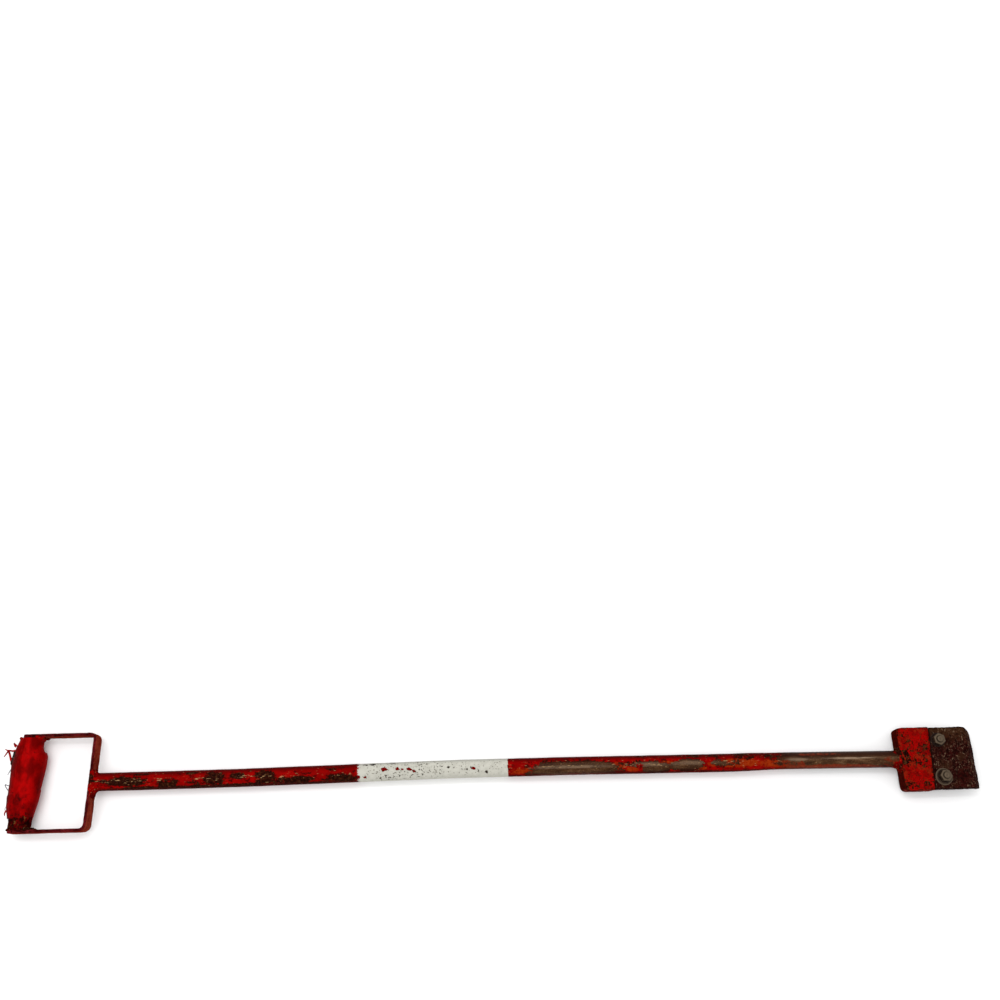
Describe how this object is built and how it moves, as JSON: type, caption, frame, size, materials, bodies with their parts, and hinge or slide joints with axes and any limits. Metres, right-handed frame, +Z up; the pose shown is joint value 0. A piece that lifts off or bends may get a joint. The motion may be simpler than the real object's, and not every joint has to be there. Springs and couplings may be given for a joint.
{
  "type": "pry bar",
  "caption": "Long steel pry bar with a wrapped D-shaped handle, a painted tube shaft and a flat blade bolted to a thick head block.",
  "frame": {"origin": "middle of the bar's outline, on the ground that it lies on", "axes": "+X along the shaft from the handle to the blade, +Y to the far side, +Z up"},
  "size_m": [1.2258, 0.12, 0.0371],
  "materials": {
    "shaft_paint": "chipped gloss red with a white band and bare rusty patches",
    "worn_steel": "smooth brown rust worn by the hand",
    "head_paint": "chipped red paint over pitted rust",
    "rusty_steel": "dark pitted rust",
    "fastener_steel": "dull grey with rust in the corners",
    "yoke_paint": "dull dark red paint, chipped at the edges",
    "padding_cloth": "dirty grey cloth",
    "red_tape": "glossy worn red tape with dark grime"
  },
  "bodies": {
    "root": {"shaft_tube": "shaft_paint", "head_shank": "worn_steel", "shank_weld": "worn_steel", "head_block": "head_paint", "head_weld": "head_paint", "blade": "rusty_steel", "blade_bolt_far": "fastener_steel", "blade_bolt_near": "fastener_steel", "bolt_washer_far": "fastener_steel", "bolt_washer_near": "fastener_steel", "nut_washer_far": "fastener_steel", "nut_washer_near": "fastener_steel", "blade_nut_far": "fastener_steel", "blade_nut_near": "fastener_steel", "yoke_strap": "yoke_paint", "yoke_weld": "yoke_paint", "grip_pipe": "yoke_paint", "grip_weld_far": "yoke_paint", "grip_weld_near": "yoke_paint", "grip_padding": "padding_cloth", "grip_tape": "red_tape", "tape_strands": "red_tape", "padding_threads": "padding_cloth"}
  },
  "joints": []
}
